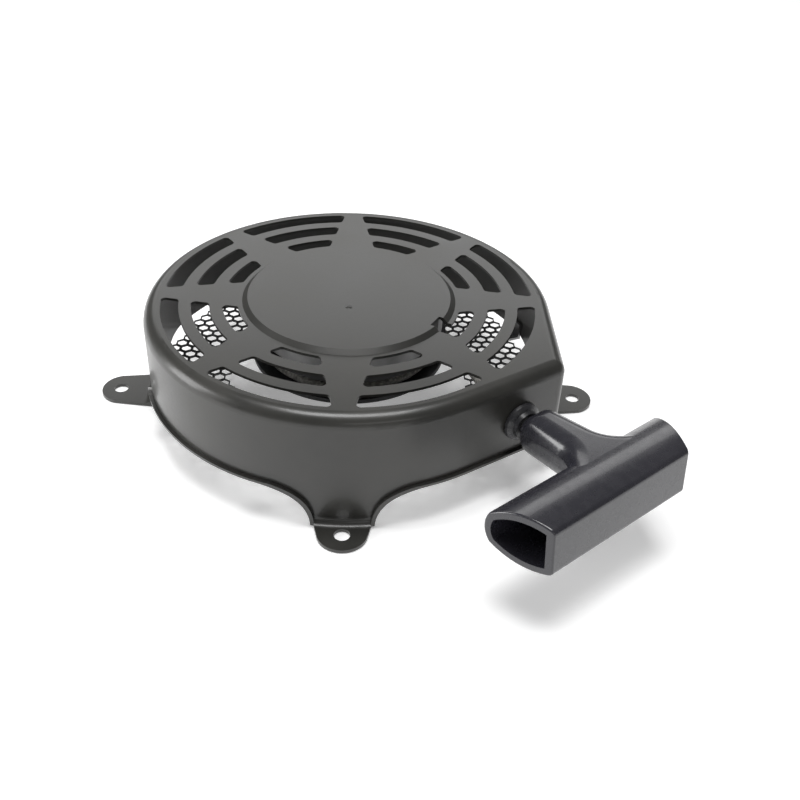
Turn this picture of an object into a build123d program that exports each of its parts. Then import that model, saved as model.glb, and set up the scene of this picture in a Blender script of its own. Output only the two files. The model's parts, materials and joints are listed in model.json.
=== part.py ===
"""Recoil starter of a small vertical-shaft engine, in millimetres.

Row frame: the origin is on the housing's centre axis, in the plane on which its four ears stand.
+Z goes up to the vented face, +X goes to the right ear and -Y to the front ear.
"""
from build123d import *
from math import acos, atan2, cos, degrees, hypot, radians, sin
import os

os.makedirs("parts", exist_ok=True)

# Housing pressing
TOP_Z = 54.5            # vented face
SHEET = 1.2             # sheet thickness
WALL_R = 90.5           # outer radius of the wall
SHOULDER_R = 5.5        # bend between the vented face and the wall
RIM_Z = TOP_Z - 36.5    # lower end of the wall
LIP = 1.7               # how far the rim is rolled outward
LIP_W = 1.6             # width of the lip where it runs down the edges of a skirt
CORNER_AZ = 302.7       # direction in which the flat rope face looks
CORNER_R = 5.0          # rounding of the corner beside the rope face
DISC_R = 47.5           # foot of the raised centre disc
DISC_TOP_R = 45.2       # its flat top
DISC_RISE = 1.8         # its height over the vented face

# Vent slots: eight groups of three
SLOT_RINGS = [(49.5, 56.3), (61.9, 69.8), (75.1, 83.0)]
SLOT_GROUPS = 8
SLOT_CORNER = 2.0
SPOKE_HALF = 5.0        # half of a spoke's width at SPOKE_REF
SPOKE_REF = 79.0
SPOKE_TAPER = 0.184     # gain of half width per mm towards the centre
NOTCH_AZ = 330.0        # spring anchor notch
NOTCH_W = 8.0
NOTCH_R = 43.0          # its inner end

# Ears: azimuth and hole radius from the centre
EARS = [(0.0, 108.0), (90.0, 97.0), (180.0, 108.0), (270.0, 97.0)]
EAR_HOLE_R = 3.3
EAR_W = 26.0            # width of an ear at its bend
EAR_END_W = 20.0        # width beside its hole
EAR_T = 1.5
EAR_TIP = 8.8           # from the hole's centre to the end of the ear
SKIRT_W = 66.0          # width of the skirt where it leaves the rim

# Centre column, from the vented face down
POST_R = 6.0
POST_LOW_Z = TOP_Z - 39.3
FIT = 0.05              # radial clearance of a running fit
SCREW_R = 4.0
WASHER_T = 1.2
HEAD_R = 7.6
HEAD_T = 4.0

# Pulley and rope
ROPE_R = 2.2
GROOVE_Z = TOP_Z - 20.6 # middle plane of the groove, level with the rope eyelet
GROOVE_W = 9.0
GROOVE_R = 26.0
WOUND_R = 39.5
PULLEY_R = 44.0
PULLEY_LOW_Z = GROOVE_Z - 6.5
PULLEY_TOP_Z = GROOVE_Z + 6.5
HUB_R = 10.0
HUB_TOP_Z = TOP_Z - 3.1
POST_FLANGE_R = 13.0
POST_FLANGE_Z = TOP_Z - 1.5

# Rewind spring
CUP_R = 42.3
SPRING_T = 0.8
SPRING_PITCH = 3.1
SPRING_TURNS = 8
SPRING_START_R = 12.6
SPRING_LOW_Z = PULLEY_TOP_Z + 1.3
SPRING_HIGH_Z = SPRING_LOW_Z + 9.2
CUP_LOW_Z = PULLEY_TOP_Z + 2.1
CUP_T = 0.8

# Pawls and their friction plate, under the pulley
PAWL_PIVOT_R = 20.0
PAWL_PIN_R = 1.5
PIVOT_R = 3.0
PIVOT_GRIP = 2.0        # depth of a pivot pin in the pulley
PAWL_AZIMUTHS = {"a": 60.0, "b": 240.0}
PAWL_SWING = 32.0       # outward swing of a pawl
PLATE_LAG = 30.0        # how far the plate lags behind the pulley meanwhile
PLATE_R = 29.0
PLATE_LOW_Z = POST_LOW_Z + 2.0
PLATE_HIGH_Z = PLATE_LOW_Z + 1.5

# Debris screen
SCREEN_IN_R = 52.0
SCREEN_OUT_R = 88.3
SCREEN_LOW_Z = RIM_Z - 2.7
SCREEN_T = 0.7
CLIP_AZIMUTHS = [22.0, 112.0, 202.0, 247.0]

# Rope outlet and grip
EYELET_AZ = 319.56      # azimuth of the eyelet's centre
PULL_AZ = 308.0         # direction of pull
PULL_EL = 6.2           # its rise over the horizontal
GRIP_ROLL = 1.5         # turn of the grip about the direction of pull
GRIP_GAP = 6.4          # from the wall to the grip's nose
STEM_LENGTH = 32.4      # from the nose to the back of the bar
STEM_W = 20.0
STEM_H = 19.6
STEM_FILLET = 13.0
BAR_L = 82.5
BAR_W = 27.4
BAR_FRONT_H = 19.4
BAR_MID_H = 22.6
BAR_BACK_H = 13.0
BAR_WALL = 3.0
BAR_SHIFT = -12.0       # from the stem's axis to the middle of the bar
BAR_EDGE_R = 2.4        # rounding of the two front edges
END_EDGE_R = 0.8        # rounding of both open ends
NEAR_SLANT = 3.6        # half the length that the slant takes off the front edge, near end
FAR_SLANT = 7.0         # the same at the far end
STEM_EDGE_R = 8.0
GRIP_MIDDLE = GRIP_GAP + STEM_LENGTH + BAR_W / 2


def polar(radius, azimuth, z=0.0):
    """Point at a radius and an azimuth in degrees."""
    return Vector(radius * cos(radians(azimuth)), radius * sin(radians(azimuth)), z)


def disc(radius, low, high, hole=0.0):
    """Upright disc or ring about the centre axis."""
    face = Circle(radius) if hole == 0 else Circle(radius) - Circle(hole)
    return Pos(0, 0, low) * extrude(face, high - low)


def turned(azimuth):
    return Rot(0, 0, azimuth)


def top_and_bottom(solid):
    """All edges that lie in the solid's highest or lowest flat face."""
    faces = solid.faces().sort_by(Axis.Z)
    return faces[0].edges() + faces[-1].edges()


# Rope line, from the pulley to the grip
FACE_NORMAL = polar(1, CORNER_AZ)
EYELET = polar(WALL_R / cos(radians(EYELET_AZ - CORNER_AZ)), EYELET_AZ, GROOVE_Z)
PULL_DIR = (polar(cos(radians(PULL_EL)), PULL_AZ) + Vector(0, 0, sin(radians(PULL_EL)))).normalized()
GRIP_FRAME = Plane(EYELET, x_dir=PULL_DIR, z_dir=Vector(0, 0, 1).cross(PULL_DIR).cross(PULL_DIR) * -1)
GRIP_FRAME = GRIP_FRAME.rotated((GRIP_ROLL, 0, 0))
EYELET_FRAME = Plane(EYELET, x_dir=FACE_NORMAL, z_dir=(0, 0, 1))


def outline(grow=0.0):
    """Plan of the wall: a circle with the corner that carries the rope face."""
    radius = WALL_R + grow
    half = radians(360.0 - CORNER_AZ) / 2
    tip = polar(radius / cos(half), (360.0 + CORNER_AZ) / 2)
    corner = Polyline((0, 0), polar(radius, 0), tip, polar(radius, CORNER_AZ), close=True)
    face = make_face(corner)
    sharp = face.vertices().sort_by_distance(tip)[0]
    return Circle(radius) + fillet(sharp, CORNER_R + grow)


def vent_slot(inner, outer):
    """One slot of the group that lies between the spokes at 0 and 45 degrees."""
    step = 360.0 / SLOT_GROUPS
    slope = degrees(atan2(SPOKE_TAPER, 1))
    edge_point = Vector(SPOKE_REF, SPOKE_HALF)
    direction = Vector(1, 0).rotate(Axis.Z, -slope)
    middle = Vector(cos(radians(step / 2)), sin(radians(step / 2)))
    normal = Vector(-middle.Y, middle.X)
    apex = edge_point - direction * (edge_point.dot(normal) / direction.dot(normal))
    far = apex + direction * 2 * WALL_R
    mirrored = far - normal * 2 * far.dot(normal)
    wedge = make_face(Polyline(apex, far, mirrored, close=True))
    slot = (Circle(outer) - Circle(inner)) & wedge
    return fillet(slot.vertices(), SLOT_CORNER)


def skirt_outline(inset=0.0):
    """Front view of the skirt between rim and ear, across (X) and up (Y)."""
    half_top = SKIRT_W / 2
    half_low = EAR_W / 2 - inset
    rim = RIM_Z + inset
    top = RIM_Z + 8
    right = Bezier((half_low, 0), (half_low, 9 + inset), (half_low + 5, rim - 1), (half_top, rim))
    left = Bezier((-half_top, rim), (-half_low - 5, rim - 1), (-half_low, 9 + inset), (-half_low, 0))
    upper = Polyline((half_top, rim), (half_top, top), (-half_top, top), (-half_top, rim))
    return make_face([right, upper, left, Line((-half_low, 0), (half_low, 0))])


def skirt_window(azimuth, inset=0.0):
    """Block that cuts the skirt of one ear out of the wall's continuation."""
    plane = Plane(polar(WALL_R - 12, azimuth), x_dir=polar(1, azimuth + 90), z_dir=polar(1, azimuth))
    return extrude(plane * skirt_outline(inset), 24)


def skirt_lip(azimuth):
    """The rolled lip where it leaves the rim and runs down both edges of a skirt."""
    band = skirt_window(azimuth) - skirt_window(azimuth, LIP_W)
    low = EAR_T - 0.5
    height = RIM_Z + SHEET - low
    return band & (Pos(0, 0, low) * (extrude(outline(LIP), height) - extrude(outline(-SHEET), height)))


def ear(azimuth, hole_radius):
    """Skirt, bend and flat ear with its bolt hole."""
    shell = extrude(outline(), RIM_Z + 1.5) - extrude(outline(-SHEET), RIM_Z + 1.5)
    skirt = shell & skirt_window(azimuth)
    half = EAR_W / 2
    half_end = EAR_END_W / 2
    start = WALL_R - 5
    shoulder = hole_radius + 1.5
    tip = hole_radius + EAR_TIP
    end = ThreePointArc((shoulder, half_end), (tip, 0), (shoulder, -half_end))
    sides = Polyline((shoulder, -half_end), (start, -half), (start, half), (shoulder, half_end))
    plate = make_face([end, sides])
    tab = turned(azimuth) * extrude(plate, EAR_T)
    inner = extrude(outline(-SHEET), EAR_T)
    tab = tab - inner
    joined = skirt + tab
    bend_r = 3.2 if hole_radius < 104 else 5.5
    near = polar(WALL_R, azimuth, EAR_T)
    bend = [edge for edge in joined.edges() if abs((edge @ 0.5).Z - EAR_T) < 0.01
            and ((edge @ 0.5) - near).length < 8 and edge.length > 10]
    joined = fillet(bend, bend_r)
    hole = Pos(polar(hole_radius, azimuth)) * extrude(Circle(EAR_HOLE_R), EAR_T)
    return joined - hole


def make_housing():
    height = TOP_Z - RIM_Z
    outer = Pos(0, 0, RIM_Z) * extrude(outline(), height)
    outer = fillet(outer.faces().sort_by(Axis.Z)[-1].edges(), SHOULDER_R)
    inner = Pos(0, 0, RIM_Z) * extrude(outline(-SHEET), height - SHEET)
    inner = fillet(inner.faces().sort_by(Axis.Z)[-1].edges(), SHOULDER_R - SHEET)
    slope = degrees(atan2(DISC_R - DISC_TOP_R, DISC_RISE))
    flank = Pos(0, 0, TOP_Z) * extrude(Circle(DISC_R), DISC_RISE, taper=slope)
    hollow = Pos(0, 0, TOP_Z - SHEET) * extrude(Circle(DISC_R - SHEET), DISC_RISE, taper=slope)
    nib = Pos(0, -12.0, TOP_Z + DISC_RISE - 2.6) * Sphere(3.0)
    shell = outer + flank - inner - hollow + (nib & disc(DISC_TOP_R, TOP_Z + 1, TOP_Z + 4))
    lip = Pos(0, 0, RIM_Z) * (extrude(outline(LIP), SHEET) - extrude(outline(-SHEET), SHEET))
    for azimuth, _ in EARS:
        lip = lip - (skirt_window(azimuth, LIP_W) - extrude(outline(), TOP_Z)) + skirt_lip(azimuth)
    shell = shell + lip
    for azimuth, hole_radius in EARS:
        shell = shell + ear(azimuth, hole_radius)
    for inner_r, outer_r in SLOT_RINGS:
        cutter = Pos(0, 0, TOP_Z - 3) * extrude(vent_slot(inner_r, outer_r), 6)
        for group in range(SLOT_GROUPS):
            shell = shell - turned(group * 360.0 / SLOT_GROUPS) * cutter
    length = SLOT_RINGS[0][0] + 2 - NOTCH_R
    notch = Pos(NOTCH_R + length / 2, 0, TOP_Z) * Box(length, NOTCH_W, 8)
    shell = shell - turned(NOTCH_AZ) * notch
    lance = Pos(NOTCH_R - SHEET / 2 + 0.1, 0, TOP_Z - 3.5) * Box(SHEET, NOTCH_W - 1, 8.5)
    shell = shell + turned(NOTCH_AZ) * lance
    bore = EYELET_FRAME * Rot(0, 90, 0) * Cylinder(6.0, 12)
    return shell - bore


def make_post():
    shank = disc(POST_R, POST_LOW_Z, TOP_Z + DISC_RISE - SHEET)
    flange = disc(POST_FLANGE_R, POST_FLANGE_Z, TOP_Z + DISC_RISE - SHEET)
    thread = disc(SCREW_R + FIT, POST_LOW_Z, POST_LOW_Z + 16)
    return shank + flange - thread


def make_pulley():
    rim = disc(PULLEY_R, PULLEY_LOW_Z, PULLEY_TOP_Z) + disc(HUB_R, PULLEY_LOW_Z, HUB_TOP_Z)
    groove = disc(PULLEY_R + 1, GROOVE_Z - GROOVE_W / 2, GROOVE_Z + GROOVE_W / 2, GROOVE_R)
    body = rim - groove - disc(POST_R + FIT, PULLEY_LOW_Z, HUB_TOP_Z)
    for azimuth in PAWL_AZIMUTHS.values():
        body = body - Pos(polar(PAWL_PIVOT_R, azimuth, PULLEY_LOW_Z)) * extrude(Circle(PIVOT_R), PIVOT_GRIP)
    hook = turned(90) * Pos(HUB_R + 0.3, 0, HUB_TOP_Z - 5) * Box(2.6, 3, 7)
    knot_well = Pos(polar(GROOVE_R - 4.5, 150, GROOVE_Z)) * extrude(Circle(5.2), 12)
    return body + hook - knot_well


def make_pivot(azimuth):
    """Steel pin pressed into the pulley's underside, on which a pawl turns."""
    low = PULLEY_LOW_Z - 8.3
    pin = extrude(Circle(PIVOT_R), PIVOT_GRIP + 8.3)
    return Pos(polar(PAWL_PIVOT_R, azimuth, low)) * pin


def make_spring():
    """Flat spiral strip built from half turns, each wider than the last."""
    outer = []
    inner = []
    side = 1
    shift = SPRING_PITCH / 4
    radius = SPRING_START_R
    for half_turn in range(2 * SPRING_TURNS):
        centre = Vector(side * shift, 0)
        for chain, offset_r in ((outer, SPRING_T / 2), (inner, -SPRING_T / 2)):
            r = radius + offset_r
            start = centre + Vector(-side * r, 0)
            middle = centre + Vector(0, side * r)
            end = centre + Vector(side * r, 0)
            chain.append(ThreePointArc(start, middle, end))
        radius += SPRING_PITCH / 2
        side = -side
    ends = [Line(outer[0] @ 0, inner[0] @ 0), Line(outer[-1] @ 1, inner[-1] @ 1)]
    return Pos(0, 0, SPRING_LOW_Z) * extrude(make_face(outer + inner + ends), SPRING_HIGH_Z - SPRING_LOW_Z)


def make_spring_cup():
    """Band round the spring, open where the spring's end reaches its anchor."""
    band = disc(CUP_R, CUP_LOW_Z, TOP_Z - SHEET, CUP_R - CUP_T)
    gap = turned(NOTCH_AZ) * Pos(CUP_R, 0, TOP_Z - 4) * Box(6, NOTCH_W + 1, 12)
    return band - gap


def make_pawl(azimuth):
    """Hooked pawl that lies along the pulley and swings out to bite."""
    pivot = polar(PAWL_PIVOT_R, azimuth)
    bottom = PULLEY_LOW_Z - 6.4
    arm = make_face(Polyline((0, -5), (15, -3.4), (19.5, 3.4), (16, 4.6), (11, 2.6), (0, 5), close=True))
    plan = Circle(5.6) + arm
    body = extrude(plan, 5.8) - extrude(Circle(PIVOT_R + FIT), 5.8)
    pin = Pos(9.0, -0.4, -4.1) * extrude(Circle(PAWL_PIN_R), 4.2)
    place = Pos(pivot.X, pivot.Y, bottom) * turned(azimuth - 118.0)
    return place * (body + pin)


def pawl_pin_point(azimuth, share):
    """Where the pawl's pin stands in the friction plate after a share of the travel."""
    pivot = polar(PAWL_PIVOT_R, azimuth)
    reach = hypot(9.0, 0.4)
    rest = azimuth - 118.0 - degrees(atan2(0.4, 9.0))
    point = pivot + polar(reach, rest + PAWL_SWING * share)
    return point.rotate(Axis.Z, PLATE_LAG * -share)


def make_pawl_plate():
    plate = disc(PLATE_R, PLATE_LOW_Z, PLATE_HIGH_Z, POST_R + FIT)
    for azimuth in PAWL_AZIMUTHS.values():
        for step in range(-1, 14):
            point = pawl_pin_point(azimuth, step / 12)
            plate = plate - Pos(point.X, point.Y, PLATE_LOW_Z) * extrude(Circle(PAWL_PIN_R + 0.5), 2)
    return plate


def make_pawl_spring(azimuth):
    """Torsion spring round the pivot stud: coil and one leg."""
    centre = polar(PAWL_PIVOT_R, azimuth)
    coil = extrude(Circle(4.4) - Circle(PIVOT_R), 1.0)
    leg = Pos(5.6, 4.4, 0.5) * Box(11, 1.0, 1.0)
    return Pos(centre.X, centre.Y, PULLEY_LOW_Z - 7.9) * turned(azimuth + 60) * (coil + leg)


def make_screw():
    """Hexagon-headed screw that holds the pawl plate and washer on the post."""
    head_low = POST_LOW_Z - WASHER_T - HEAD_T
    head = Pos(0, 0, head_low) * extrude(RegularPolygon(HEAD_R, 6), HEAD_T)
    recess = disc(HEAD_R / 2, head_low, head_low + 1.0)
    return head + disc(SCREW_R, POST_LOW_Z - WASHER_T, POST_LOW_Z + 15) - recess


def make_screen():
    return disc(SCREEN_OUT_R, SCREEN_LOW_Z, SCREEN_LOW_Z + SCREEN_T, SCREEN_IN_R)


def make_clip(azimuth):
    """Small angle that ties the screen to the inside of the wall."""
    top = SCREEN_LOW_Z + SCREEN_T
    foot = Pos(WALL_R - SHEET - 3.5, 0, top + 0.6) * Box(6.9, 9, 1.2)
    upright = Pos(WALL_R - SHEET - 0.9, 0, top + 4.0) * Box(1.2, 9, 8)
    limit = disc(WALL_R - SHEET, top, top + 8.5)
    return (turned(azimuth) * (foot + upright)) & limit


def lathe(points):
    """Solid turned about local X from (x, radius) points."""
    face = make_face(Polyline([(x, r) for x, r in points], close=True))
    return revolve(face, Axis.X)


def make_eyelet():
    bush = lathe([(-2.6, 3.4), (-2.6, 5.9), (0.05, 5.9), (0.05, 8.2), (0.7, 8.6), (2.0, 8.4), (2.8, 7.2),
                  (3.2, 6.4), (5.0, 6.1), (5.0, 4.3), (1.6, 3.1), (0, 3.0)])
    return EYELET_FRAME * bush


def make_eyelet_ring():
    return EYELET_FRAME * lathe([(-2.6, 5.95), (-2.6, 8.4), (-SHEET - 0.02, 8.4), (-SHEET - 0.02, 5.95)])


def rope_tube(points, radii):
    path = FilletPolyline(points, radius=radii) if radii else Line(*points)
    start = path @ 0
    section = Plane(start, z_dir=path % 0) * Circle(ROPE_R)
    return sweep(section, path=path)


def rope_points():
    """Tangent point on the wound rope, bend inside the wall and end in the eyelet."""
    bend = EYELET - PULL_DIR * 13.0
    bend = Vector(bend.X, bend.Y, GROOVE_Z)
    clear = WOUND_R + ROPE_R + 0.35
    reach = hypot(bend.X, bend.Y)
    azimuth = degrees(atan2(bend.Y, bend.X)) + degrees(acos(clear / reach))
    tangent = polar(clear, azimuth, GROOVE_Z)
    return tangent, bend, EYELET - PULL_DIR * 1.6


def bar_section():
    """Section of the grip's bar, out along the pull (X) and up (Y)."""
    front = BAR_W / 2
    back = -BAR_W / 2 + 2
    face_line = Line((front, -BAR_FRONT_H / 2), (front, BAR_FRONT_H / 2))
    top = ThreePointArc((front, BAR_FRONT_H / 2), (0, BAR_MID_H / 2), (back, BAR_BACK_H / 2))
    rear = ThreePointArc((back, BAR_BACK_H / 2), (-BAR_W / 2, 0), (back, -BAR_BACK_H / 2))
    low = ThreePointArc((back, -BAR_BACK_H / 2), (0, -BAR_MID_H / 2), (front, -BAR_FRONT_H / 2))
    face = make_face([face_line, top, rear, low])
    return fillet(face.vertices().sort_by(Axis.X)[-2:], BAR_EDGE_R)


def bar_plan():
    """Plan of the bar: its ends slant, so that the back edge is longer than the front."""
    near = BAR_SHIFT - BAR_L / 2
    far = BAR_SHIFT + BAR_L / 2
    back = GRIP_MIDDLE - BAR_W
    front = GRIP_MIDDLE + BAR_W
    corners = [(back, near - 2 * NEAR_SLANT), (front, near + 2 * NEAR_SLANT),
               (front, far - 2 * FAR_SLANT), (back, far + 2 * FAR_SLANT)]
    return make_face(Polyline(corners, close=True))


def stem_plan():
    """Plan of the stem with the flares that run out into both arms of the bar."""
    half = STEM_W / 2
    back = GRIP_MIDDLE - BAR_W / 2 + 3.5
    reach = half + STEM_FILLET
    near_arc = STEM_FILLET * 0.293
    return make_face([
        Line((GRIP_GAP, half - 1.5), (back - STEM_FILLET, half)),
        ThreePointArc((back - STEM_FILLET, half), (back - near_arc, half + near_arc), (back, reach)),
        Polyline((back, reach), (GRIP_MIDDLE, reach), (GRIP_MIDDLE, -reach), (back, -reach)),
        ThreePointArc((back, -reach), (back - near_arc, -half - near_arc), (back - STEM_FILLET, -half)),
        Line((back - STEM_FILLET, -half), (GRIP_GAP, 1.5 - half)),
        Line((GRIP_GAP, 1.5 - half), (GRIP_GAP, half - 1.5)),
    ])


def along_bar(section, extra=0.0):
    """Prism of a section along the bar, longer than the slanted bar by an extra at each end."""
    length = BAR_L + 2 * (NEAR_SLANT + FAR_SLANT + extra)
    return Pos(GRIP_MIDDLE, BAR_SHIFT + length / 2, 0) * extrude(Plane.XZ * section, length)


def make_grip():
    """Hollow T grip in its own frame: X out along the rope, Y along the bar."""
    bar = along_bar(bar_section()) & (Pos(0, 0, -BAR_MID_H) * extrude(bar_plan(), 2 * BAR_MID_H))
    faces = bar.faces().sort_by(Axis.Y)
    bar = fillet(faces[0].edges() + faces[-1].edges(), END_EDGE_R)
    web = Pos(0, 0, -STEM_H / 2) * extrude(stem_plan(), STEM_H)
    nose = [edge for edge in web.edges().filter_by(Axis.Z) if edge.center().X < GRIP_GAP + 1]
    web = fillet(nose, 4.0)
    back = GRIP_MIDDLE - BAR_W / 2 + 3.5
    rounded = [edge for edge in top_and_bottom(web) if (edge @ 0.5).X < back - 0.5]
    web = fillet(rounded, STEM_EDGE_R)
    hollow = along_bar(offset(bar_section(), -BAR_WALL), 1)
    rope_way = Pos(GRIP_MIDDLE / 2, 0, 0) * Rot(0, 90, 0) * Cylinder(ROPE_R + 0.6, GRIP_MIDDLE + 4)
    pocket = Pos(GRIP_GAP + 2, 0, 0) * Rot(0, 90, 0) * Cylinder(5.0, 6)
    return bar + web - hollow - rope_way - pocket


def make_grip_insert(along):
    """Small steel plate behind the bar's back wall, which the rope's knot pulls against."""
    plate = Box(1.2, 13, 6) - Rot(0, 90, 0) * Cylinder(ROPE_R, 4)
    return Pos(along, 0, 0) * plate


def in_grip_frame(solid):
    return GRIP_FRAME.location * solid


def build():
    """Every piece of the starter, by name."""
    wall_inside = GRIP_MIDDLE - BAR_W / 2 + BAR_WALL
    tangent, bend, rope_end = rope_points()
    pieces = {
        "housing": make_housing(),
        "centre_post": make_post(),
        "thrust_washer": disc(11.5, HUB_TOP_Z + 0.35, POST_FLANGE_Z, POST_R + FIT),
        "spring_cup": make_spring_cup(),
        "rewind_spring": make_spring(),
        "pulley": make_pulley(),
        "rope_wound": disc(WOUND_R, GROOVE_Z - GROOVE_W / 2 + 0.1, GROOVE_Z + GROOVE_W / 2 - 0.1, GROOVE_R),
        "rope_knot_pulley": Pos(polar(GROOVE_R - 4.5, 150, GROOVE_Z + 4)) * Sphere(3.6),
        "rope_run": rope_tube([tangent, bend, rope_end], 24.0),
        "rope_eyelet": make_eyelet(),
        "eyelet_ring": make_eyelet_ring(),
        "pawl_plate": make_pawl_plate(),
        "friction_spring": disc(9.2, POST_LOW_Z, PLATE_LOW_Z - 0.4, 7.4),
        "retainer_washer": disc(13.5, POST_LOW_Z - WASHER_T, POST_LOW_Z, SCREW_R + FIT),
        "centre_screw": make_screw(),
        "debris_screen": make_screen(),
        "grip": in_grip_frame(make_grip()),
        "grip_insert": in_grip_frame(make_grip_insert(wall_inside + 1.3)),
        "rope_knot_grip": in_grip_frame(Pos(wall_inside + 5.5, 0, 0) * Sphere(3.5)),
        "rope_draw": in_grip_frame(rope_tube([Vector(-1.2, 0, 0), Vector(wall_inside + 1.9, 0, 0)], None)),
    }
    for name, azimuth in PAWL_AZIMUTHS.items():
        pieces[f"pawl_{name}"] = make_pawl(azimuth)
        pieces[f"pawl_pivot_{name}"] = make_pivot(azimuth)
        pieces[f"pawl_spring_{name}"] = make_pawl_spring(azimuth)
    for number, azimuth in enumerate(CLIP_AZIMUTHS, start=1):
        pieces[f"screen_clip_{number}"] = make_clip(azimuth)
    return pieces


for node, solid in build().items():
    export_step(solid, f"parts/{node}.step")
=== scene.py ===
import json
from math import cos, pi, radians, sin, sqrt

import bmesh
import bpy
from mathutils import Matrix, Vector


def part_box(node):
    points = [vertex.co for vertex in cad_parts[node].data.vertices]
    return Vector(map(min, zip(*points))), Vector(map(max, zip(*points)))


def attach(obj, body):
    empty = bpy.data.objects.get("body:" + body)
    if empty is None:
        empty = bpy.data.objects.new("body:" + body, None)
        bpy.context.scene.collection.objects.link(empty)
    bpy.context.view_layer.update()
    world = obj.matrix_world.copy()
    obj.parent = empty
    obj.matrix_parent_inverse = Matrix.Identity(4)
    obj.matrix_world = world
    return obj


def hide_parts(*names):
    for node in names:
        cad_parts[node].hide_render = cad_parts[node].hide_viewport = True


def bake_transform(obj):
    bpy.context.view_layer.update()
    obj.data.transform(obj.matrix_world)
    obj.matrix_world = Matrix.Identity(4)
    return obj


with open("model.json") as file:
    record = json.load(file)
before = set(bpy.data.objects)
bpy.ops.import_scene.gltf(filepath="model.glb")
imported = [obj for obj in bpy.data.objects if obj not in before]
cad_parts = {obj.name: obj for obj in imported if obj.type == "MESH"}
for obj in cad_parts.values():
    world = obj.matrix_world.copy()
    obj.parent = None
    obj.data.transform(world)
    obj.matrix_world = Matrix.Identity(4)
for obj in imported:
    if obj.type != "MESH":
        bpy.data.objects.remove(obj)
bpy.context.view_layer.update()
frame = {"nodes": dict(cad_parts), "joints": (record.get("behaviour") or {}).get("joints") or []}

# Boxes that the looks share, read from the frame, in metres
HOUSING_HIGH = Vector(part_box("housing")[1])
SCREEN_LOW, SCREEN_HIGH = (Vector(corner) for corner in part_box("debris_screen"))
WOUND_LOW, WOUND_HIGH = (Vector(corner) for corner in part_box("rope_wound"))
# The vented face lies below the housing's top by the rise of the centre disc and of its nib
DISC_RISE = 0.0018
NIB_RISE = 0.0004
VENT_Z = HOUSING_HIGH.z - DISC_RISE - NIB_RISE
GROOVE_Z = (WOUND_LOW.z + WOUND_HIGH.z) / 2
ROPE_R = 0.0022


def joint(name):
    return next(entry for entry in frame["joints"] if entry["name"] == name)


PULL_DIR = Vector(joint("handle_pull")["axis"]).normalized()


# ---------------------------------------------------------------- shader helpers

class Shader:
    """Node tree of one material with short calls for the usual nodes."""

    def __init__(self, name, **sockets):
        self.material = bpy.data.materials.new(name)
        self.material.use_nodes = True
        self.tree = self.material.node_tree
        self.surface = self.tree.nodes["Principled BSDF"]
        for key, value in sockets.items():
            self.surface.inputs[key.replace("_", " ").title().replace("Ior", "IOR")].default_value = value
        self.place = self.tree.nodes.new("ShaderNodeTexCoord").outputs["Object"]

    def node(self, kind, **settings):
        made = self.tree.nodes.new(kind)
        for key, value in settings.items():
            setattr(made, key, value)
        return made

    def link(self, source, target):
        self.tree.links.new(source, target)

    def noise(self, scale, detail=4.0, rough=0.55, stretch=None):
        made = self.node("ShaderNodeTexNoise")
        made.inputs["Scale"].default_value = scale
        made.inputs["Detail"].default_value = detail
        made.inputs["Roughness"].default_value = rough
        place = self.place
        if stretch:
            mapping = self.node("ShaderNodeMapping")
            mapping.inputs["Scale"].default_value = stretch
            self.link(place, mapping.inputs["Vector"])
            place = mapping.outputs["Vector"]
        self.link(place, made.inputs["Vector"])
        return made.outputs["Fac"]

    def ramp(self, source, low, high, start=0.3, end=0.7):
        """Maps a grey value between start and end to a number or colour."""
        made = self.node("ShaderNodeMapRange", data_type="FLOAT", clamp=True)
        made.inputs["From Min"].default_value = start
        made.inputs["From Max"].default_value = end
        made.inputs["To Min"].default_value = low
        made.inputs["To Max"].default_value = high
        self.link(source, made.inputs["Value"])
        return made.outputs["Result"]

    def mix(self, source, low, high, start=0.3, end=0.7):
        made = self.node("ShaderNodeMix", data_type="RGBA")
        self.link(self.ramp(source, 0.0, 1.0, start, end), made.inputs["Factor"])
        made.inputs["A"].default_value = (*low, 1)
        made.inputs["B"].default_value = (*high, 1)
        return made.outputs["Result"]

    def sum(self, first, second, weight=1.0):
        made = self.node("ShaderNodeMath", operation="MULTIPLY_ADD")
        self.link(second, made.inputs[0])
        made.inputs[1].default_value = weight
        self.link(first, made.inputs[2])
        return made.outputs[0]

    def bump(self, source, distance, strength=1.0):
        made = self.node("ShaderNodeBump")
        made.inputs["Distance"].default_value = distance
        made.inputs["Strength"].default_value = strength
        self.link(source, made.inputs["Height"])
        self.link(made.outputs["Normal"], self.surface.inputs["Normal"])

    def colour(self, source):
        self.link(source, self.surface.inputs["Base Color"])

    def roughness(self, source):
        self.link(source, self.surface.inputs["Roughness"])


def black_paint():
    """Satin black paint on pressed steel: faint orange peel, dust and rubbed patches."""
    shade = Shader("black_paint", roughness=0.36, coat_weight=0.3, coat_roughness=0.16)
    cloud = shade.noise(28.0, 5.0)
    fine = shade.noise(900.0, 3.0)
    shade.colour(shade.mix(cloud, (0.022, 0.022, 0.020), (0.033, 0.032, 0.028), 0.35, 0.65))
    shade.roughness(shade.ramp(shade.sum(cloud, fine, 0.35), 0.32, 0.44, 0.45, 0.95))
    peel = shade.noise(420.0, 3.0)
    shade.bump(shade.sum(peel, shade.noise(70.0, 2.0), 2.0), 0.00002, 0.55)
    return shade.material


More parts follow.
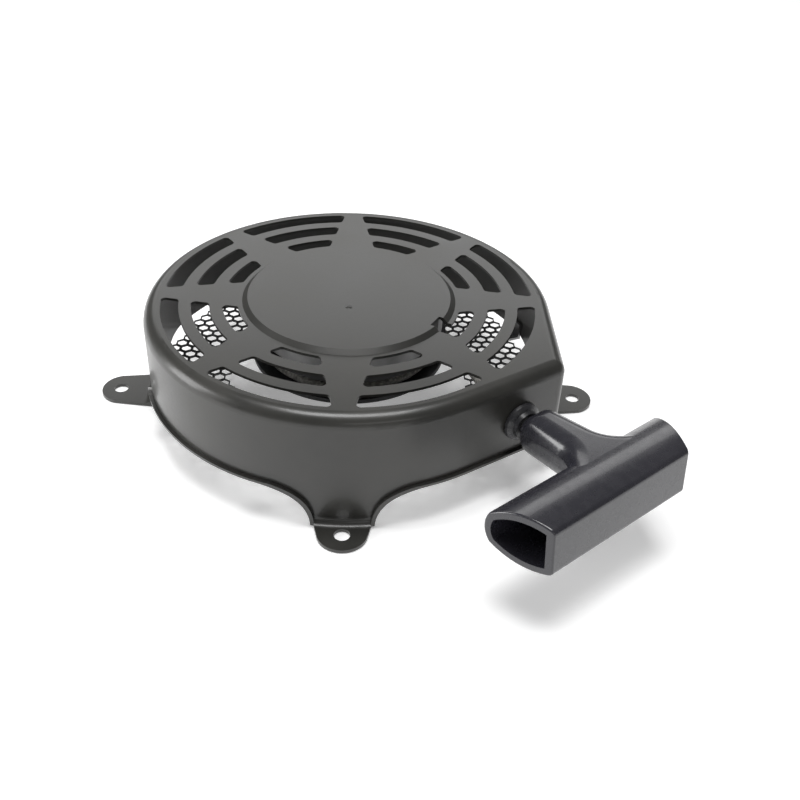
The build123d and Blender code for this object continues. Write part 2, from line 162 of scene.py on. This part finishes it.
def grip_plastic():
    """Glossy moulded plastic, nearly black with a cool tint."""
    shade = Shader("grip_plastic", roughness=0.24, coat_weight=0.35, coat_roughness=0.1,
                   specular_ior_level=0.6)
    cloud = shade.noise(40.0, 4.0)
    shade.colour(shade.mix(cloud, (0.018, 0.018, 0.024), (0.026, 0.025, 0.032)))
    shade.roughness(shade.ramp(shade.noise(240.0, 4.0), 0.22, 0.32))
    shade.bump(shade.sum(shade.noise(120.0, 2.0), shade.noise(1500.0, 2.0), 0.4), 0.000015, 0.5)
    return shade.material


def plain_metal(name, dark, light, rough=0.34, stretch=(1, 1, 1), grain=600.0):
    shade = Shader(name, metallic=1.0, roughness=rough)
    streak = shade.noise(grain, 4.0, stretch=stretch)
    cloud = shade.noise(45.0, 4.0)
    shade.colour(shade.mix(cloud, dark, light))
    shade.roughness(shade.ramp(streak, rough - 0.07, rough + 0.1))
    shade.bump(streak, 0.00002, 0.5)
    return shade.material


def moulded_plastic(name, dark, light, rough):
    shade = Shader(name, roughness=rough)
    shade.colour(shade.mix(shade.noise(60.0, 4.0), dark, light))
    shade.roughness(shade.ramp(shade.noise(500.0, 3.0), rough - 0.06, rough + 0.08))
    shade.bump(shade.noise(1400.0, 3.0), 0.00003, 0.5)
    return shade.material


def braided_rope():
    """Braided cord: small cells of strand ends with loose fibres over them, each cell darker towards its
    edge as painted shade in the low gaps between strands.
    """
    shade = Shader("rope_braid", roughness=0.82, sheen_weight=0.25, sheen_roughness=0.5)
    strand_cells_and_gap_shade = shade.node("ShaderNodeTexVoronoi", feature="SMOOTH_F1")
    strand_cells_and_gap_shade.inputs["Scale"].default_value = 900.0
    shade.link(shade.place, strand_cells_and_gap_shade.inputs["Vector"])
    fibre = shade.noise(2600.0, 3.0)
    # Painted shade: the strand cells are light in their middle and darker at their edges, where the bump
    # sinks into the gaps
    shade.colour(shade.mix(strand_cells_and_gap_shade.outputs["Distance"], (0.42, 0.41, 0.38), (0.16, 0.155, 0.14), 0.1, 0.7))
    shade.roughness(shade.ramp(fibre, 0.75, 0.9))
    shade.bump(shade.sum(fibre, strand_cells_and_gap_shade.outputs["Distance"], -2.0), 0.00025, 0.7)
    return shade.material


MATERIALS = {
    "paint": black_paint(),
    "grip": grip_plastic(),
    "steel": plain_metal("rolled_steel", (0.20, 0.20, 0.20), (0.34, 0.34, 0.34), 0.36, (1, 1, 6)),
    "zinc": plain_metal("zinc_plate", (0.46, 0.45, 0.41), (0.62, 0.61, 0.57), 0.3),
    "spring": plain_metal("spring_steel", (0.10, 0.10, 0.12), (0.20, 0.20, 0.23), 0.28, (1, 1, 12)),
    "sinter": plain_metal("sintered_steel", (0.16, 0.15, 0.13), (0.27, 0.25, 0.22), 0.48, grain=1400.0),
    "screen": plain_metal("dark_mesh_steel", (0.05, 0.05, 0.05), (0.12, 0.12, 0.12), 0.45),
    "nylon": moulded_plastic("black_nylon", (0.016, 0.016, 0.017), (0.030, 0.030, 0.031), 0.5),
    "bush": moulded_plastic("eyelet_gloss", (0.020, 0.020, 0.022), (0.034, 0.034, 0.037), 0.27),
    "rope": braided_rope(),
}
NODE_MATERIALS = {
    "housing": "paint", "grip": "grip", "rope_eyelet": "bush", "eyelet_ring": "bush", "pulley": "nylon",
    "centre_post": "steel", "thrust_washer": "steel", "spring_cup": "steel", "retainer_washer": "steel",
    "pawl_plate": "steel", "pawl_pivot_a": "steel", "pawl_pivot_b": "steel", "centre_screw": "zinc",
    "grip_insert": "zinc", "rewind_spring": "spring", "pawl_a": "sinter", "pawl_b": "sinter",
    "rope_run": "rope",
}


def dress(obj, material):
    """Gives every slot of an object one material."""
    if not obj.material_slots:
        obj.data.materials.append(MATERIALS[material])
    for entry in obj.material_slots:
        entry.link = "OBJECT"
        entry.material = MATERIALS[material]


def dress_cad_nodes():
    for name, obj in frame["nodes"].items():
        wanted = "steel" if name.startswith("screen_clip") else NODE_MATERIALS.get(name)
        if wanted:
            dress(obj, wanted)


# ---------------------------------------------------------------- mesh helpers

def new_piece(name, mesh, material, body, *replaced):
    """Adds a mesh as a piece that rides on a body and may stand for CAD nodes."""
    obj = bpy.data.objects.new(name, mesh)
    bpy.context.scene.collection.objects.link(obj)
    mesh.materials.append(MATERIALS[material])
    if replaced:
        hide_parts(*replaced)
    if body:
        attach(obj, body)
    return obj


def mesh_of(bm, name, smooth=True):
    mesh = bpy.data.meshes.new(name)
    bmesh.ops.recalc_face_normals(bm, faces=bm.faces)
    bm.to_mesh(mesh)
    bm.free()
    for face in mesh.polygons:
        face.use_smooth = smooth
    return mesh


# Waves of the braid around a tube, and the tube's length, in radii, for one radian of their turn
BRAID_WAVES = 4
BRAID_PITCH = 2.2


def tube_mesh(name, points, radius, sides=16, closed=False, braid=0.0):
    """Tube along a list of points, with a braided surface where braid is its relief."""
    bm = bmesh.new()
    count = len(points)
    rings = []
    normal = None
    travelled = 0.0
    for index, point in enumerate(points):
        before = points[index - 1] if index or closed else point
        after = points[(index + 1) % count] if index + 1 < count or closed else point
        along = (after - before).normalized()
        if normal is None:
            normal = along.orthogonal().normalized()
        normal = (normal - along * normal.dot(along)).normalized()
        side = along.cross(normal)
        travelled += (point - points[index - 1]).length if index else 0.0
        ring = []
        for step in range(sides):
            angle = 2 * pi * step / sides
            turn = travelled / (radius * BRAID_PITCH)
            across, lengthwise = BRAID_WAVES * angle, BRAID_WAVES * turn
            relief = braid * sin(across + lengthwise) * sin(across - lengthwise)
            ring.append(bm.verts.new(point + (normal * cos(angle) + side * sin(angle)) * (radius + relief)))
        rings.append(ring)
    spans = count if closed else count - 1
    for index in range(spans):
        low, high = rings[index], rings[(index + 1) % count]
        for step in range(sides):
            following = (step + 1) % sides
            bm.faces.new((low[step], low[following], high[following], high[step]))
    if not closed:
        bm.faces.new(list(reversed(rings[0])))
        bm.faces.new(rings[-1])
    return mesh_of(bm, name)


def circle_point(radius, angle, z=0.0):
    return Vector((radius * cos(angle), radius * sin(angle), z))


# ---------------------------------------------------------------- debris screen

# Pitch of the openings, thickness of the webs between them, and the ring that the sheet fills
CELL = 0.0054
WEB = 0.0011
SCREEN_OUT_R = SCREEN_HIGH.x
SCREEN_IN_R = 0.052
# Least distance of a cell's centre from the ring's inner and outer edge, in cell radii
IN_GAP = 0.9
OUT_GAP = 1.02
WELD_DISTANCE = 0.00001
UPRIGHT_NORMAL_Z = 0.1


def make_screen():
    """Ring-shaped sheet of hexagonal openings, made of whole cells, so its edges are stepped."""
    bm = bmesh.new()
    radius = CELL / sqrt(3)
    inner = radius * (1 - WEB / CELL)
    low, high = SCREEN_LOW.z, SCREEN_HIGH.z
    reach = int(SCREEN_OUT_R / CELL) + 2
    limit_in, limit_out = SCREEN_IN_R + radius * IN_GAP, SCREEN_OUT_R - radius * OUT_GAP
    for column in range(-reach, reach + 1):
        for row in range(-reach * 2, reach * 2 + 1):
            centre = Vector(((column + (row % 2) / 2) * CELL, row * radius * 1.5, 0))
            if not limit_in <= centre.length <= limit_out:
                continue
            corners = [circle_point(1, pi / 2 + pi * k / 3) for k in range(6)]
            rims = []
            for size, z in ((radius, low), (radius, high), (inner, high), (inner, low)):
                rims.append([bm.verts.new(centre + corner * size + Vector((0, 0, z))) for corner in corners])
            for first, second in ((1, 2), (2, 3), (3, 0)):
                for k in range(6):
                    j = (k + 1) % 6
                    bm.faces.new((rims[first][k], rims[first][j], rims[second][j], rims[second][k]))
            for k in range(6):
                j = (k + 1) % 6
                bm.faces.new((rims[0][k], rims[0][j], rims[1][j], rims[1][k]))
    # Neighbouring cells meet in upright walls, which are taken out of the sheet
    bmesh.ops.remove_doubles(bm, verts=bm.verts, dist=WELD_DISTANCE)
    doubled = [face for face in bm.faces if all(len(edge.link_faces) > 2 for edge in face.edges)]
    shared = [face for face in doubled if abs(face.normal.z) < UPRIGHT_NORMAL_Z]
    bmesh.ops.delete(bm, geom=shared, context="FACES_ONLY")
    new_piece("screen_mesh", mesh_of(bm, "screen_mesh", smooth=False), "screen", "housing_body",
              "debris_screen")


# ---------------------------------------------------------------- ropes and springs

DRUM_R = 0.026
WOUND_LAYERS = 3
WOUND_STEPS = 96
# Share of a turn in which the rope crosses over to its neighbour's height
CROSSING = 0.12
# Share of the rope's radius that a turn on the pulley keeps, so that turns don't merge
WOUND_SHARE = 0.97
# Height of the braid on each kind of rope
WOUND_BRAID = 0.00012
KNOT_BRAID = 0.0001
PULL_BRAID = 0.00008


def make_wound_rope():
    """Turns of rope on the pulley, two side by side and three deep."""
    inner = DRUM_R + ROPE_R
    outer = WOUND_HIGH.x - ROPE_R
    points = []
    for layer in range(WOUND_LAYERS):
        radius = inner + (outer - inner) * layer / (WOUND_LAYERS - 1)
        for half in range(2):
            rise = ROPE_R * (1 if (half + layer) % 2 else -1)
            for step in range(WOUND_STEPS):
                share = step / WOUND_STEPS
                blend_in = min(1.0, share / CROSSING)
                height = GROOVE_Z + rise * (2 * blend_in - 1 if points else 1)
                points.append(circle_point(radius, 2 * pi * share, height))
    mesh = tube_mesh("rope_turns", points, ROPE_R * WOUND_SHARE, sides=12, braid=WOUND_BRAID)
    new_piece("rope_turns", mesh, "rope", "pulley_body", "rope_wound")


KNOT_STEPS = 64
KNOT_DEPTH = 1.25
# Reach of the trefoil at size 1, and the rope's radius as a share of the knot's half width
KNOT_REACH = 3.0
KNOT_ROPE = 0.36


def knot_points(size):
    """Closed trefoil, the shape of a pulled-up overhand knot."""
    points = []
    for step in range(KNOT_STEPS):
        t = 2 * pi * step / KNOT_STEPS
        across = (sin(t) + 2 * sin(2 * t), cos(t) - 2 * cos(2 * t))
        points.append(Vector((*across, -sin(3 * t) * KNOT_DEPTH)) * size)
    return points


def make_knot(name, node, body):
    low, high = (Vector(corner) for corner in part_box(node))
    centre = (low + high) / 2
    half = (high.x - low.x) / 2
    rope = half * KNOT_ROPE
    size = (half - rope) / KNOT_REACH
    points = [centre + point for point in knot_points(size)]
    mesh = tube_mesh(name, points, rope, sides=14, closed=True, braid=KNOT_BRAID)
    new_piece(name, mesh, "rope", body, node)


# How far the rope's ends stop short of the CAD box's corners, in rope radii
PULL_SHORT = 0.8
PULL_RINGS = 120


def make_rope_draw():
    """The short rope between eyelet and grip, which lengthens as the grip is pulled."""
    low, high = (Vector(corner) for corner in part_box("rope_draw"))
    middle = (low + high) / 2
    half = (high - low) / 2
    reach = half.length - ROPE_R * PULL_SHORT
    start = middle - PULL_DIR * reach
    points = [start + PULL_DIR * (2 * reach * step / PULL_RINGS) for step in range(PULL_RINGS + 1)]
    mesh = tube_mesh("rope_pull", points, ROPE_R, sides=18, braid=PULL_BRAID)
    piece = new_piece("rope_pull", mesh, "rope", None, "rope_draw")
    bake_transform(piece)


FRICTION_WIRE = 0.00035
FRICTION_TURNS = 2.2
COIL_STEPS = 48


def make_coil(name, node, body, wire, turns):
    """Open coil of round wire that fills a CAD node's box."""
    low, high = (Vector(corner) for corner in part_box(node))
    centre = (low + high) / 2
    radius = (high.x - low.x) / 2 - wire
    total = int(turns * COIL_STEPS)
    points = []
    for step in range(total + 1):
        angle = 2 * pi * step / COIL_STEPS
        height = low.z + wire + (high.z - low.z - 2 * wire) * step / total
        points.append(Vector((centre.x, centre.y, 0)) + circle_point(radius, angle, height))
    new_piece(name, tube_mesh(name, points, wire, sides=10), "spring", body, node)


def make_ropes_and_springs():
    make_wound_rope()
    make_knot("knot_in_pulley", "rope_knot_pulley", "pulley_body")
    make_knot("knot_in_grip", "rope_knot_grip", "handle")
    make_rope_draw()
    make_coil("friction_coil", "friction_spring", "housing_body", FRICTION_WIRE, FRICTION_TURNS)


# ---------------------------------------------------------------- floor, light and camera

FLOOR_SIZE = 12
FLOOR_Z = -0.0003
FLOOR_WHITE = 0.95
FLOOR_GLOW = 0.28


def make_floor():
    bpy.ops.mesh.primitive_plane_add(size=FLOOR_SIZE, location=(0, 0, FLOOR_Z))
    floor = bpy.context.object
    floor.name = "floor"
    shade = Shader("floor_white", roughness=0.9)
    shade.surface.inputs["Base Color"].default_value = (FLOOR_WHITE, FLOOR_WHITE, FLOOR_WHITE, 1)
    shade.surface.inputs["Emission Color"].default_value = (1, 1, 1, 1)
    shade.surface.inputs["Emission Strength"].default_value = FLOOR_GLOW
    floor.data.materials.append(shade.material)


WORLD_LIGHT = 0.16
LIGHT_AIM = (0, 0, 0.03)
# Place, width and height in metres, and power in watts
LIGHTS = {
    "back_panel": ((0.0, 1.5, 0.78), (1.7, 0.55), 5.0),
    "overhead": ((0.0, -0.05, 1.5), (0.9, 0.6), 18.0),
    "left_panel": ((-0.85, -0.05, 0.3), (0.35, 0.5), 4.2),
    "front_panel": ((0.35, -1.1, 0.55), (0.7, 0.2), 0.8),
}


def area_light(name, place, size, power):
    data = bpy.data.lights.new(name, "AREA")
    data.shape = "RECTANGLE"
    data.size, data.size_y = size
    data.energy = power
    lamp = bpy.data.objects.new(name, data)
    lamp.location = place
    lamp.rotation_euler = (Vector(LIGHT_AIM) - Vector(place)).to_track_quat("-Z", "Y").to_euler()
    bpy.context.scene.collection.objects.link(lamp)


def make_light():
    world = bpy.data.worlds.new("studio")
    world.use_nodes = True
    background = world.node_tree.nodes["Background"]
    background.inputs["Color"].default_value = (1.0, 1.0, 1.0, 1)
    background.inputs["Strength"].default_value = WORLD_LIGHT
    bpy.context.scene.world = world
    bpy.context.scene.view_settings.view_transform = "Standard"
    for name, (place, size, power) in LIGHTS.items():
        area_light(name, place, size, power)


# The camera circles the middle of the vented face, in metres and degrees, and then turns a little
CAMERA_DISTANCE = 0.43815
CAMERA_AZIMUTH = 271.3
CAMERA_ELEVATION = 30.175
CAMERA_YAW = -3.045
CAMERA_PITCH = -6.016
CAMERA_ROLL = -0.798
CAMERA_LENS = 43.73


def make_camera():
    data = bpy.data.cameras.new("camera")
    data.sensor_width = 36.0
    data.lens = CAMERA_LENS
    data.clip_start = 0.01
    camera = bpy.data.objects.new("camera", data)
    bpy.context.scene.collection.objects.link(camera)
    elevation = radians(CAMERA_ELEVATION)
    target = Vector((0, 0, VENT_Z))
    offset = circle_point(cos(elevation), radians(CAMERA_AZIMUTH), sin(elevation)) * CAMERA_DISTANCE
    forward = -offset.normalized()
    right = forward.cross(Vector((0, 0, 1))).normalized()
    up = right.cross(forward)
    axes = [right, up, forward]
    for angle, about in ((CAMERA_YAW, 1), (CAMERA_PITCH, 0), (CAMERA_ROLL, 2)):
        turn = Matrix.Rotation(radians(angle), 3, axes[about])
        axes = [turn @ axis for axis in axes]
    right, up, forward = axes
    pose = Matrix((right, up, -forward)).transposed().to_4x4()
    pose.translation = target + offset
    camera.matrix_world = pose
    bpy.context.scene.camera = camera


make_camera()
make_light()
make_floor()
dress_cad_nodes()
make_screen()
make_ropes_and_springs()
